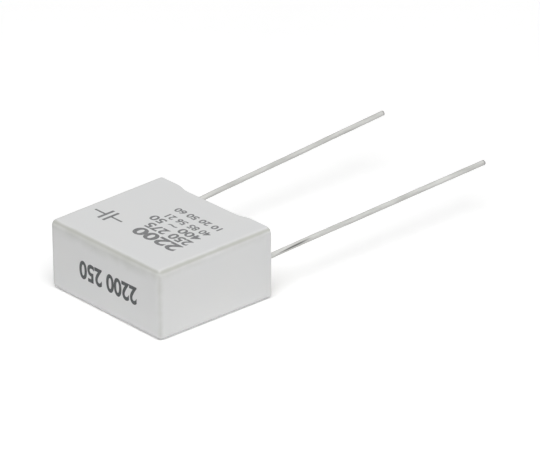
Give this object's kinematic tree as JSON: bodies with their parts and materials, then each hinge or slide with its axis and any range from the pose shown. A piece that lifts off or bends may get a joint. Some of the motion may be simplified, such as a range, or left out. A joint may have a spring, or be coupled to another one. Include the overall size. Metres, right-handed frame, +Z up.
{
  "type": "paper capacitor",
  "caption": "Small box-shaped paper capacitor lying on a broad face: pale moulded case with round edges and stand-off feet, resin-filled lead end, long straight tinned wire leads.",
  "frame": {"origin": "middle of the lower broad face of the case, on which the capacitor lies", "axes": "+Y out of the lead end, along the leads; +X along the lead pitch, towards the right-hand lead; +Z up through the thickness"},
  "size_m": [0.018, 0.0484, 0.0083],
  "materials": {
    "moulded_case": "off-white moulded thermoplastic, satin",
    "potting_resin": "pale cast epoxy resin, glossy",
    "paper_winding": "impregnated metallised paper",
    "sprayed_contact": "sprayed metal, rough and matt",
    "tinned_wire": "tinned copper wire, semi-bright"
  },
  "bodies": {
    "root": {"case": "moulded_case", "potting_resin": "potting_resin", "winding": "paper_winding", "contact_left": "sprayed_contact", "contact_right": "sprayed_contact", "lead_left": "tinned_wire", "lead_right": "tinned_wire"}
  },
  "joints": []
}
